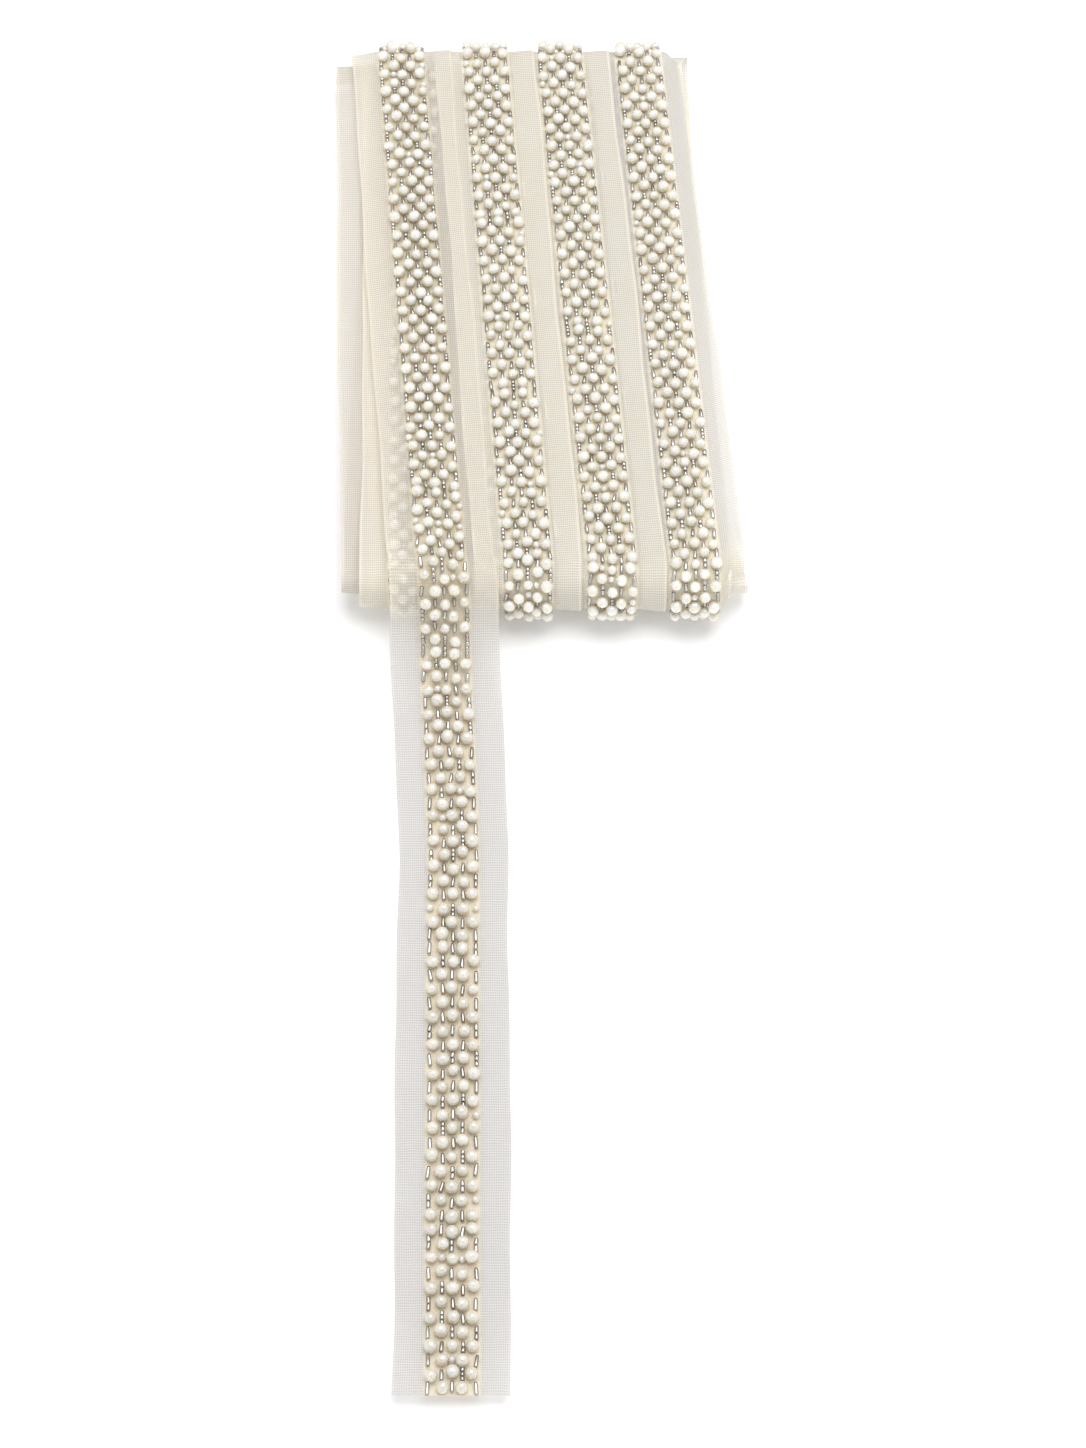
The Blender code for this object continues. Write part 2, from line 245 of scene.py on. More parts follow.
def wound_stations():
    """The winding from its hidden start to the end of the last front pass."""
    found = []
    for i in range(LEAD_IN_STEPS):
        share = mix(LEAD_IN_SHARE, 1.0, i / LEAD_IN_STEPS)
        x = mix(LEAD_IN.start_x, LEAD_IN.end_x, share)
        found.append(station(LEAD_IN, "back", share, x, LEADER, share))
    previous = LEAD_IN
    for leg in WINDING:
        fold = "near" if leg.side == "back" else "far"
        for i in range(FOLD_STEPS):
            share = i / FOLD_STEPS
            level = mix(previous.end_level, leg.start_level, float(smooth((share - 0.5) * 2)))
            shaper, shape_share = (previous, 1.0) if share < 0.5 else (leg, 0.0)
            found.append(station(shaper, fold, share, leg.start_x, level, shape_share))
        for i in range(FLAT_STEPS):
            share = i / FLAT_STEPS
            x = mix(leg.start_x, leg.end_x, share)
            found.append(station(leg, leg.side, share, x, level_at(leg, share), share))
        previous = leg
    return found


def loose_x(y):
    """The loose end's middle line, read smoothly from its table."""
    for here, after in zip(LOOSE_LINE, LOOSE_LINE[1:]):
        if y >= after.y:
            return mix(here.x, after.x, float(smooth((here.y - y) / (here.y - after.y))))
    return LOOSE_LINE[-1].x


def drop_points():
    """(y, z, normal_y, normal_z, lift) over the near fold and straight down the drop."""
    over_steps, down_steps = 8, 5
    drop_share = (DROP_ANGLE - FRONT_NORMAL) / (1.5 * math.pi - FRONT_NORMAL)
    points = []
    for i in range(over_steps + 1):
        lift = mix(LOOSE_LIFT, DROP_LIFT, i / over_steps)
        points.append((*loop_point("near", drop_share * i / over_steps, DROP_LEVEL), lift))
    top_y, top_z, normal_y, normal_z, _ = points[-1]
    slope = DROP_ANGLE - math.pi / 2
    height = top_z - FLOOR_GAP - LANDING_RADIUS * (1 - math.cos(slope))
    turn_y = top_y - height / math.tan(slope)
    turn_z = top_z - height
    for i in range(1, down_steps + 1):
        share = i / down_steps
        y, z = mix(top_y, turn_y, share), mix(top_z, turn_z, share)
        points.append((y, z, normal_y, normal_z, DROP_LIFT * (1 - share)))
    return points


def loose_stations():
    """Over the near fold, down the drop, round the landing and along the surface."""
    landing_steps, flat_steps = 16, 84
    points = drop_points()
    turn_y, turn_z, normal_y, normal_z, _ = points[-1]
    centre_y = turn_y + LANDING_RADIUS * normal_y
    centre_z = turn_z + LANDING_RADIUS * normal_z
    for i in range(1, landing_steps + 1):
        angle = mix(DROP_ANGLE, math.pi / 2, i / landing_steps)
        y = centre_y - LANDING_RADIUS * math.cos(angle)
        z = centre_z - LANDING_RADIUS * math.sin(angle)
        points.append((y, z, math.cos(angle), math.sin(angle), 0.0))
    landing_y = points[-1][0]
    for i in range(1, flat_steps + 1):
        y = mix(landing_y, LOOSE_END_Y, i / flat_steps)
        lifted = float(smooth((LOOSE_END_Y + END_LIFT_LENGTH - y) / END_LIFT_LENGTH)) ** 2
        points.append((y, FLOOR_GAP + END_LIFT * lifted, 0.0, 1.0, 0.0))
    return [
        Station(loose_x(y), y, z, normal_y, normal_z, 0.0, 0.0, lift, 0.0, 0.0, 2.0)
        for y, z, normal_y, normal_z, lift in points
    ]


class Route:
    """The whole ribbon as arrays, read at any length along it."""

    def __init__(self, stations):
        self.values = np.array(stations)
        line = self.values[:, :3]
        legs = np.linalg.norm(np.diff(line, axis=0), axis=1)
        self.along = np.concatenate([[0.0], np.cumsum(legs)])
        self.length = float(self.along[-1])

    def read(self, s):
        """Station values at the lengths in array s, as a Station of arrays."""
        columns = [np.interp(s, self.along, column) for column in self.values.T]
        return Station(*columns)

    def bend(self, s):
        """How sharply the ribbon turns at s, in radians a millimetre. At a fold its beads are outside."""
        step = 1.5
        before, after = self.read(s - step), self.read(s + step)
        first_angle = math.atan2(before.normal_z, before.normal_y)
        turn = math.atan2(after.normal_z, after.normal_y) - first_angle
        return math.remainder(turn, 2 * math.pi) / (2 * step)

    def cloth(self, s, u, above=0.0):
        """Points on the cloth, s along it, u across it and above its face. Arrays of one shape."""
        at = self.read(s)
        right = smooth((u - BAND_HALF) / (TRIM_WIDTH / 2 - BAND_HALF))
        left = smooth((-u - BAND_HALF) / (TRIM_WIDTH / 2 - BAND_HALF))
        lifted = smooth((LIFTED_TO - u) / LIFTED_OVER)
        margin = np.maximum(right, left)
        # The margins wave up and down, and sway from side to side, each as two sines of unlike length
        waves = 0.16 * np.sin(s / 5.3 + u * 0.25) + 0.11 * np.sin(s / 2.9 - u * 0.4 + 1.3)
        sway = 0.22 * np.sin(s / 17.0 + np.sign(u)) + 0.12 * np.sin(s / 6.1)
        height = at.rise * right - at.droop * left + at.lift * lifted - CURL_DOWN * at.curl * right**1.3
        height = height + margin * waves + above
        x = at.x + u + margin * sway - CURL_IN * at.curl * right
        y = at.y + at.normal_y * height + at.pull * smooth((u - BAND_HALF) / PULLED_OVER)
        z = np.maximum(at.z + at.normal_z * height, LEAST_HEIGHT)
        return np.stack([x, y, z], axis=-1)


WOUND = wound_stations()
ROUTE = Route(WOUND + loose_stations())
LOOSE_START = float(ROUTE.along[len(WOUND)])


# Meshes


def new_mesh(name, points, faces, material):
    """A smooth mesh piece from an array of points in millimetres and a list of faces."""
    mesh = bpy.data.meshes.new(name)
    mesh.from_pydata((points * MM).tolist(), [], faces)
    mesh.shade_smooth()
    mesh.materials.append(material)
    obj = bpy.data.objects.new(name, mesh)
    bpy.context.scene.collection.objects.link(obj)
    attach(obj, "root")
    return obj


def grid_faces(rows, columns):
    """Quads between the points of a grid."""
    r, c = np.meshgrid(np.arange(rows - 1), np.arange(columns - 1), indexing="ij")
    here, above = r * columns + c, (r + 1) * columns + c
    return np.stack([here, here + 1, above + 1, above], -1).reshape(-1, 4).tolist()


def net_ribbon(material):
    """The whole length of net in one sheet, with its weave's coordinates in millimetres. Its columns of
    points lie closest where the margins rise and at the selvedges."""
    half = TRIM_WIDTH / 2
    right = (1.5, 3.1, 4.6, BAND_HALF, 7.2, 8.2, 9.4, 10.8, 12.0, half - 0.5, half)
    across = np.array([*(-u for u in reversed(right)), 0.0, *right])
    halfway = (ROUTE.along[1:] + ROUTE.along[:-1]) / 2
    along = np.unique(np.concatenate([ROUTE.along, halfway]))
    s, u = np.meshgrid(along, across, indexing="ij")
    points = ROUTE.cloth(s, u).reshape(-1, 3)
    faces = grid_faces(len(along), len(across))
    obj = new_mesh("net_ribbon", points, faces, material)
    layer = obj.data.uv_layers.new(name="weave")
    corners = np.zeros(len(obj.data.loops), dtype=np.int32)
    obj.data.loops.foreach_get("vertex_index", corners)
    places = np.stack([u.ravel()[corners], s.ravel()[corners]], -1)
    layer.data.foreach_set("uv", places.ravel().astype(np.float32))
    return obj


def unit(vectors):
    """The vectors of an array, each made 1 long."""
    return vectors / np.linalg.norm(vectors, axis=-1, keepdims=True)


def turned(shape, sides):
    """Points and faces of a solid turned about Z, from a (radius, z) profile that starts and ends on Z."""
    ring_count = len(shape) - 2
    angles = np.arange(sides) * 2 * math.pi / sides
    rings = [
        np.stack([r * np.cos(angles), r * np.sin(angles), np.full(sides, z)], -1) for r, z in shape[1:-1]
    ]
    points = np.concatenate([[[0, 0, shape[0][1]]], *rings, [[0, 0, shape[-1][1]]]])
    last = 1 + (ring_count - 1) * sides
    faces = []
    for i in range(sides):
        j = (i + 1) % sides
        faces.append((0, 1 + j, 1 + i))
        faces.append((last + i, last + j, len(points) - 1))
        for ring in range(ring_count - 1):
            a, b = 1 + ring * sides, 1 + (ring + 1) * sides
            faces.append((a + i, a + j, b + j, b + i))
    return points, faces


def ball(sides, rings):
    """A unit ball, its poles on Z."""
    shape = [(math.sin(math.pi * i / rings), -math.cos(math.pi * i / rings)) for i in range(rings + 1)]
    return turned(shape, sides)


def tube(sides, bevel):
    """A unit bead: 1 in radius, from -0.5 to 0.5 along Z, with rounded rims and a dimpled hole."""
    shape = [(0, -0.2), (0.42, -0.45), (0.8, -0.5), (1.0, -0.5 + bevel)]
    shape += [(r, -z) for r, z in reversed(shape)]
    return turned(shape, sides)


def copies(name, shape, matrices, centres, tones_and_light, material):
    """One joined mesh of a shape, once for each 3 by 3 matrix and centre, with a value for each copy:
    its random tint with its zone's painted light. Nothing of it goes below the surface that the hank lies
    on."""
    base, faces = shape
    points = (np.einsum("nij,vj->nvi", matrices, base) + centres[:, None, :]).reshape(-1, 3)
    points[:, 2] = np.maximum(points[:, 2], 0.0)
    joined = []
    for first in range(0, len(points), len(base)):
        joined += [[first + i for i in face] for face in faces]
    obj = new_mesh(name, points, joined, material)
    tone = obj.data.attributes.new("tone", "FLOAT", "POINT")
    tone.data.foreach_set("value", np.repeat(tones_and_light, len(base)).astype(np.float32))
    return obj


# Beads


def bead_frames(s, u, tilt):
    """(along, side, up) unit directions at each bead: the cloth's, turned by the bead's own tilt."""
    step = 0.4
    along = unit(ROUTE.cloth(s + step, u) - ROUTE.cloth(s - step, u))
    at = ROUTE.read(s)
    up = np.stack([np.zeros_like(s), at.normal_y, at.normal_z], -1)
    side = unit(np.cross(along, up))
    up = unit(np.cross(side, along))
    turned_along = unit(along + side * tilt[:, None])
    side = unit(np.cross(turned_along, up))
    return turned_along, side, up


def bead_places():
    """Where the pearls and the bugles sit, from the cut end back, as (s, u, size) and (s, u, length).
    They take turns from column to column and row to row, but here and there a row repeats the one
    before it, and a small pearl takes a bugle's place. Rows keep their pitch at the pearls' centres,
    so that on the cloth they lie closer where it bends round a fold."""
    pearl_places, bugle_places = [], []
    s = ROUTE.length - FIRST_ROW_SHARE * LOOSE_ROW_PITCH
    odd, since_repeat = 1, ROWS_SINCE_REPEAT_AT_THE_END
    while s > LEADER_LENGTH:
        looseness = float(smooth((s - LOOSE_START - LOOSE_PATTERN_FROM) / LOOSE_PATTERN_OVER))
        length = mix(WOUND_BUGLE_LENGTH, LOOSE_BUGLE_LENGTH, looseness)
        for column in range(COLUMNS):
            u = (column - (COLUMNS - 1) / 2) * COLUMN_PITCH
            outer = column in (0, COLUMNS - 1)
            beside = u + math.copysign(OUTER_BUGLE_SHIFT, u) if outer else u
            if (odd + column) % 2 == 0:
                pearl_places.append((s, u, 1.0))
            elif DICE.random() < SMALL_PEARL_SHARE:
                pearl_places.append((s, beside, SMALL_PEARL_SIZE))
            else:
                bugle_places.append((s, beside, length + OUTER_BUGLE_EXTRA * outer))
        pitch = mix(WOUND_ROW_PITCH, LOOSE_ROW_PITCH, looseness)
        s -= pitch / (1 + WOUND_PEARL_RADIUS * ROUTE.bend(s))
        since_repeat += 1
        if since_repeat > ROWS_BEFORE_A_REPEAT and DICE.random() < ROW_REPEAT_SHARE:
            since_repeat = 0
        else:
            odd = 1 - odd
    return np.array(pearl_places), np.array(bugle_places)


def wander(s, u):
    """A slow shift of each column along the trim, as its thread was pulled unevenly: two sines of
    unlike length, in step with neither the rows nor the columns."""
    return 0.28 * np.sin(s / 13.0 + u * 1.9) + 0.16 * np.sin(s / 5.7 - u * 2.7)


def length_of_legs(count):
    """How far along the ribbon the first legs of the winding reach."""
    return float(ROUTE.along[LEAD_IN_STEPS + count * (FOLD_STEPS + FLAT_STEPS)])


# The ribbon's start, up to the end of BV0, has no beads. Its first pass and U1 show at the far left of
# the front, and F4, the first of the outer passes, at the far right.
LEADER_LENGTH = length_of_legs(2)
FIRST_TURNS_LENGTH = length_of_legs(3)
RIGHT_TURN = (length_of_legs(10), length_of_legs(11))


def zones(s):
    """0 for beads inside the hank, 1 for those on its front and folds, 2 for those on the loose end
    and 3 for those on its back."""
    at = ROUTE.read(s)
    zone = np.rint(at.outer).astype(int)
    return np.where((zone == 1) & (at.normal_z < BACK_BELOW_NORMAL), 3, zone)


# What the beads of each zone look like. The last two values are painted light, added to each bead's own
# random value: they make the pearls and bugles of the hank lighter than those of the loose end, and the
# bugles inside the hank the lightest.
Zone = namedtuple("Zone", "name ball tube pearl_tone bugle_tone")
ZONES = (
    Zone("inner", ball(10, 7), tube(5, 0.1), 0.5, -1.5),
    Zone("front", ball(14, 10), tube(9, 0.12), 0.4, -0.5),
    Zone("loose", ball(16, 11), tube(10, 0.12), 0.0, -0.3),
    Zone("back", ball(12, 8), tube(7, 0.12), 0.4, -0.5),
)


def piece_for_each_zone(kind, shapes, zone, matrices, centres, tones_and_light, material):
    """All beads of one kind, as one piece for each zone."""
    made = []
    for index, shape in enumerate(shapes):
        chosen = zone == index
        name = f"{kind}_{ZONES[index].name}"
        made.append(copies(name, shape, matrices[chosen], centres[chosen], tones_and_light[chosen], material))
    return made


def random_axes(count):
    """A random turn for each of so many beads, as 3 by 3 matrices."""
    spin = unit(DICE.normal(size=(count, 3)))
    other = unit(np.cross(spin, DICE.normal(size=(count, 3))))
    return np.stack([other, np.cross(spin, other), spin], -1)


def pearls(material, places):
    """Slightly uneven pearls, each turned its own way, held down on the cloth."""
    s, u, size = places.T
    count = len(s)
    s = s + wander(s, u) + DICE.normal(0, PEARL_SPREAD_ALONG, count)
    s = np.minimum(s, ROUTE.length - LAST_PEARL_INSET * LOOSE_PEARL_RADIUS)
    u = u + DICE.normal(0, PEARL_SPREAD_ACROSS, count)
    zone = zones(s)
    looseness = smooth((s - LOOSE_START) / LOOSE_SIZE_OVER)
    usual = mix(WOUND_PEARL_RADIUS, LOOSE_PEARL_RADIUS, looseness)
    radius = usual * size * (1 + np.clip(DICE.normal(0, PEARL_SIZE_SPREAD, count), *PEARL_SIZE_LIMITS))
    centres = ROUTE.cloth(s, u, radius + np.abs(DICE.normal(0, PEARL_LIFT_SPREAD, count)))
    axes = random_axes(count)
    stretch = 1 + DICE.uniform(*PEARL_STRETCH, size=(count, 3))
    matrices = axes * (radius[:, None] * stretch)[:, None, :]
    tones_and_light = DICE.uniform(0, PEARL_TONE_RANGE, count)
    # Painted light: the pearls of the hank are made lighter than those of the loose end.
    tones_and_light = tones_and_light + np.array([place.pearl_tone for place in ZONES])[zone]
    balls = [place.ball for place in ZONES]
    return piece_for_each_zone("pearls", balls, zone, matrices, centres, tones_and_light, material)


def split_bugles(s, u, whole_length, split):
    """Arrays of (s, u, length, how many in a row) with each bugle as its one, two or three beads."""
    beads = []
    for middle, across, whole, count in zip(s, u, whole_length, split):
        pitch = (whole + SPLIT_BUGLE_EXTRA * (count - 1)) / count
        for part in range(count):
            place = middle + (part - (count - 1) / 2) * pitch
            beads.append((place, across, pitch * BUGLE_LENGTH_SHARE, count))
    return np.array(beads).T


def bugles(material, places):
    """Silvered glass bugles along the thread, some of them in two or three short beads."""
    s, u, whole_length = places.T
    s = s + wander(s, u) + DICE.normal(0, BUGLE_SPREAD_ALONG, len(s))
    s = np.minimum(s, ROUTE.length - LOOSE_BUGLE_LENGTH / 2)
    u = u + DICE.normal(0, BUGLE_SPREAD_ACROSS, len(u))
    split = DICE.choice([1, 2, 3], size=len(s), p=SHARES_IN_ONE_TWO_OR_THREE)
    s, u, length, in_a_row = split_bugles(s, u, whole_length, split)
    zone = zones(s)
    radius = BUGLE_RADIUS * (1 + DICE.normal(0, BUGLE_SIZE_SPREAD, len(s)))
    radius = radius * np.where(in_a_row > 1, SHORT_BUGLE_WIDER, 1.0)
    along, side, up = bead_frames(s, u, DICE.normal(0, BUGLE_TILT_SPREAD, len(s)))
    lift = BUGLE_LIFT + np.abs(DICE.normal(0, BUGLE_LIFT_SPREAD, len(s)))
    centres = ROUTE.cloth(s, u, radius + lift)
    axes = np.stack([side, up, along], -1)
    matrices = axes * np.stack([radius, radius, length], -1)[:, None, :]
    tones_and_light = DICE.uniform(0, 1, len(s))
    # Painted light: the bugles of the hank are made lighter than those of the loose end, most inside it.
    tones_and_light = tones_and_light + np.array([place.bugle_tone for place in ZONES])[zone]
    tubes = [place.tube for place in ZONES]
    return piece_for_each_zone("bugles", tubes, zone, matrices, centres, tones_and_light, material)


# Colours, as linear red, green and blue. A list of stops has a place on a ramp with each of them.
WOUND_NET = [(0.3, (0.905, 0.86, 0.755)), (0.7, (0.92, 0.885, 0.80))]
# Painted shade: the first turns and the leader, deep in the hank at its far left, are painted darker than
# the rest of the wound net, and F4, at the far right where its margin curls down, darker and greyer.
FIRST_TURNS_PAINTED_SHADE = (0.87, 0.825, 0.75)
LEADER_PAINTED_SHADE = (0.76, 0.71, 0.64)
RIGHT_TURN_PAINTED_SHADE = (0.82, 0.80, 0.765)
# Painted light: the last pass before the loose end is painted lighter than the rest of the wound net,
# against the shade of the turns below it.
LAST_PASS_PAINTED_LIGHT = (0.99, 0.955, 0.88)
# Painted shade: the loose end's single layer of the same net, painted greyer and darker than in the hank.
LOOSE_NET_PAINTED_SHADE = (0.72, 0.70, 0.68)
# The cloth under the beads: tan, partly the denser backing's own colour and partly painted light, lighter
# than the net, and lighter in the hank than on the loose end, so that the gaps between the beads stay
# light.
WOUND_BACKING_PAINTED_LIGHT = (1.0, 0.92, 0.74)
LOOSE_BACKING_PAINTED_LIGHT = (0.92, 0.825, 0.655)
PEARL_TONES = [
    (0.0, (0.65, 0.64, 0.605)),
    (0.5, (0.77, 0.755, 0.71)),
    (1.0, (0.89, 0.875, 0.835)),
]
# Painted shade: the tan that each pearl turns towards its edge as seen.
PEARL_RIM_SHADE = (0.76, 0.615, 0.40)
# Painted reflection and shade: the bugles' colours, from their light middles to their dark edges as seen.
BUGLE_TONES_AND_PAINTED_SHEEN = [
    (0.15, (0.74, 0.73, 0.71)),
    (0.45, (0.52, 0.50, 0.47)),
    (0.7, (0.27, 0.24, 0.20)),
    (1.0, (0.18, 0.15, 0.12)),
]
FLOOR_TONES = [(0.3, (0.93, 0.93, 0.935)), (0.7, (0.95, 0.95, 0.95))]

# Where the net's parts begin, in millimetres, as the two ends of a soft step: along the ribbon from the
# start of the loose end, in from its edge, and out from the strip of beads
LOOSE_NET_STEP = (6, 22)
LAST_PASS_STEP = (-165, -155)
SELVEDGE_STEP = (0.9, 0.5)
BACKING_STEP = (0.5, -0.1)
TURN_SOFTNESS = 4


# Nodes


def tree(name):
    """A new material, its node tree and its Principled BSDF."""
    made = bpy.data.materials.new(name)
    made.use_nodes = True
    return made, made.node_tree, made.node_tree.nodes["Principled BSDF"]


def node(nodes, kind, **settings):
    """A new node, with its settings."""
    made = nodes.nodes.new(kind)
    for key, value in settings.items():
        setattr(made, key, value)
    return made


def math_node(nodes, operation, *values):
    """The result of a math node, each of its values a socket or a number."""
    made = node(nodes, "ShaderNodeMath", operation=operation)
    for index, value in enumerate(values):
        if isinstance(value, (int, float)):
            made.inputs[index].default_value = value
        else:
            nodes.links.new(value, made.inputs[index])
    return made.outputs[0]


def noise(nodes, scale, detail, coordinates=None):
    """A noise pattern over the coordinates given, or over the object's own."""
    made = node(nodes, "ShaderNodeTexNoise")
    made.inputs["Scale"].default_value = scale
    made.inputs["Detail"].default_value = detail
    if coordinates is None:
        coordinates = node(nodes, "ShaderNodeTexCoord").outputs["Object"]
    nodes.links.new(coordinates, made.inputs["Vector"])
    return made.outputs["Fac"]


def ramp(nodes, factor, stops):
    """A colour ramp through (place, colour) stops."""
    made = node(nodes, "ShaderNodeValToRGB")
    elements = made.color_ramp.elements
    for element, (place, colour) in zip(elements, (stops[0], stops[-1])):
        element.position = place
        element.color = (*colour, 1.0)
    for place, colour in stops[1:-1]:
        elements.new(place).color = (*colour, 1.0)
    nodes.links.new(factor, made.inputs["Fac"])
    return made.outputs["Color"]


def mixed(nodes, factor, first, second):
    """A blend of two colours, each a socket or a constant."""
    made = node(nodes, "ShaderNodeMix", data_type="RGBA")
    nodes.links.new(factor, made.inputs["Factor"])
    for name, value in (("A", first), ("B", second)):
        if isinstance(value, tuple):
            made.inputs[name].default_value = (*value, 1.0)
        else:
            nodes.links.new(value, made.inputs[name])
    return made.outputs["Result"]


def bump(nodes, height, strength, distance, shader):
    """Gives a shader's face the relief of a height socket."""
    made = node(nodes, "ShaderNodeBump")
    made.inputs["Strength"].default_value = strength
    made.inputs["Distance"].default_value = distance
    nodes.links.new(height, made.inputs["Height"])
    nodes.links.new(made.outputs["Normal"], shader.inputs["Normal"])


def between(nodes, value, low, high):
    """0 below low and 1 above high, or the other way round if low is the larger, with soft ends."""
    made = node(nodes, "ShaderNodeMapRange", interpolation_type="SMOOTHSTEP")
    made.inputs["From Min"].default_value = low
    made.inputs["From Max"].default_value = high
    nodes.links.new(value, made.inputs["Value"])
    return made.outputs[0]


def shader_mix(nodes, factor, first, second):
    """A blend of two shaders."""
    made = node(nodes, "ShaderNodeMixShader")
    nodes.links.new(factor, made.inputs["Fac"])
    nodes.links.new(first, made.inputs[1])
    nodes.links.new(second, made.inputs[2])
    return made.outputs[0]


def up_to(nodes, along, length):
    """1 on the ribbon before a length along it and 0 after, with a soft edge."""
    return between(nodes, along, length + TURN_SOFTNESS, length - TURN_SOFTNESS)


def beyond(nodes, along, length):
    """0 on the ribbon before a length along it and 1 after, with a soft edge."""
    return between(nodes, along, length - TURN_SOFTNESS, length + TURN_SOFTNESS)


# Materials


def weave(nodes, places, across, along):
    """1 on the net's threads and 0 in its holes, with threads both ways that wobble a little."""

    def threads(place, pitch):
        wave = math_node(nodes, "SINE", math_node(nodes, "MULTIPLY", place, 2 * math.pi / pitch))
        return math_node(nodes, "MULTIPLY_ADD", wave, 0.5, 0.5)

    wobble = noise(nodes, 0.35, 2.0, places)
    warp = threads(math_node(nodes, "MULTIPLY_ADD", wobble, 0.3, across), NET_PITCH * 0.8)
    weft = threads(math_node(nodes, "MULTIPLY_ADD", wobble, 0.45, along), NET_PITCH)
    return math_node(nodes, "MAXIMUM", math_node(nodes, "MULTIPLY", warp, 0.85), weft)


# Where the net is the loose end, the sheerer last pass before it, and denser at its selvedges and under
# the beads, where it takes the backing's colour with its painted light. Each is a socket, 0 elsewhere and
# up to 1 there.
NetParts = namedtuple("NetParts", "loose last_pass dense")


def net_parts(nodes, across, along):
    """The parts of the net that look unlike the rest, told by their places along it and across it."""
    loose = between(nodes, along, *(LOOSE_START + place for place in LOOSE_NET_STEP))
    late = between(nodes, along, *(LOOSE_START + place for place in LAST_PASS_STEP))
    last_pass = math_node(nodes, "MULTIPLY", late, math_node(nodes, "SUBTRACT", 1.0, loose))
    from_middle = math_node(nodes, "ABSOLUTE", across)
    edge = between(nodes, from_middle, *(TRIM_WIDTH / 2 - inset for inset in SELVEDGE_STEP))
    selvedge = math_node(nodes, "MULTIPLY", edge, math_node(nodes, "MULTIPLY_ADD", loose, -0.25, 0.3))
    backing_and_painted_light = between(nodes, from_middle, *(BAND_HALF + outset for outset in BACKING_STEP))
    return NetParts(loose, last_pass, math_node(nodes, "MAXIMUM", selvedge, backing_and_painted_light))


def net_opacity(nodes, cloth, parts):
    """How much of the net stops the light: its threads, and more of it where it is dense."""
    open_cloth = math_node(nodes, "MULTIPLY_ADD", cloth, 0.3, 0.58)
    open_cloth = math_node(nodes, "MULTIPLY_ADD", parts.last_pass, -0.13, open_cloth)
    covered = math_node(nodes, "MULTIPLY_ADD", parts.dense, 0.4, open_cloth)
    return math_node(nodes, "MINIMUM", covered, 1.0)


def wound_colour(nodes, places, along, parts):
    """The wound net's colour: uneven cream, with painted shade on its first turns and leader, deep in the
    hank, and on F4, where its margin curls down, and painted light on the last pass.
    """
    colour = ramp(nodes, noise(nodes, 0.06, 3.0, places), WOUND_NET)
    # Painted shade on the first turns, the leader and F4, and painted light on the last pass, each laid
    # over the wound net's colour.
    colour = mixed(nodes, up_to(nodes, along, FIRST_TURNS_LENGTH), colour, FIRST_TURNS_PAINTED_SHADE)
    colour = mixed(nodes, up_to(nodes, along, LEADER_LENGTH), colour, LEADER_PAINTED_SHADE)
    start, end = RIGHT_TURN
    right_turn = math_node(nodes, "MULTIPLY", beyond(nodes, along, start), up_to(nodes, along, end))
    colour = mixed(nodes, right_turn, colour, RIGHT_TURN_PAINTED_SHADE)
    return mixed(nodes, parts.last_pass, colour, LAST_PASS_PAINTED_LIGHT)


def net_colour(nodes, wound, cloth, parts):
    """The net's colour: the wound net's or the loose end's with its painted shade, shaded by the weave,
    and the cloth under the beads with its painted light.
    """
    plain = mixed(nodes, parts.loose, wound, LOOSE_NET_PAINTED_SHADE)
    shaded = node(nodes, "ShaderNodeMix", data_type="RGBA", blend_type="MULTIPLY")
    shaded.inputs["Factor"].default_value = 1.0
    nodes.links.new(plain, shaded.inputs["A"])
    nodes.links.new(math_node(nodes, "MULTIPLY_ADD", cloth, 0.1, 0.9), shaded.inputs["B"])
    # The dense part takes the colour of the cloth under the beads, with its painted light.
    tinted = math_node(nodes, "MULTIPLY", parts.dense, 0.9)
    backing_and_painted_light = mixed(nodes, parts.loose, WOUND_BACKING_PAINTED_LIGHT, LOOSE_BACKING_PAINTED_LIGHT)
    return mixed(nodes, tinted, shaded.outputs["Result"], backing_and_painted_light)


def light_through(nodes, colour, opacity):
    """The part of the net that lets light through its threads."""
    threads = node(nodes, "ShaderNodeBsdfTranslucent")
    nodes.links.new(colour, threads.inputs["Color"])
    holes = node(nodes, "ShaderNodeBsdfTransparent")
    return shader_mix(nodes, opacity, holes.outputs[0], threads.outputs[0])


def net_material():
    """Sheer net: fine threads both ways with small holes, denser at its edges and under the beads."""
    made, nodes, shader = tree("sheer_net")
    places = node(nodes, "ShaderNodeUVMap", uv_map="weave").outputs["UV"]
    split = node(nodes, "ShaderNodeSeparateXYZ")
    nodes.links.new(places, split.inputs[0])
    across, along = split.outputs["X"], split.outputs["Y"]
    cloth = weave(nodes, places, across, along)
    parts = net_parts(nodes, across, along)
    opacity = net_opacity(nodes, cloth, parts)
    colour = net_colour(nodes, wound_colour(nodes, places, along, parts), cloth, parts)
    nodes.links.new(opacity, shader.inputs["Alpha"])
    nodes.links.new(colour, shader.inputs["Base Color"])
    shader.inputs["Roughness"].default_value = 0.75
    shader.inputs["Sheen Weight"].default_value = 0.25
    shader.inputs["Specular IOR Level"].default_value = 0.3
    bump(nodes, cloth, 0.6, 0.00012, shader)
    translucency = math_node(nodes, "MULTIPLY_ADD", parts.last_pass, 0.2, 0.22)
    through = light_through(nodes, colour, opacity)
    both = shader_mix(nodes, translucency, shader.outputs[0], through)
    nodes.links.new(both, nodes.nodes["Material Output"].inputs["Surface"])
    return made


def tone_and_light_of(nodes):
    """Each bead's random tint, with its zone's painted light added."""
    return node(nodes, "ShaderNodeAttribute", attribute_name="tone").outputs["Fac"]


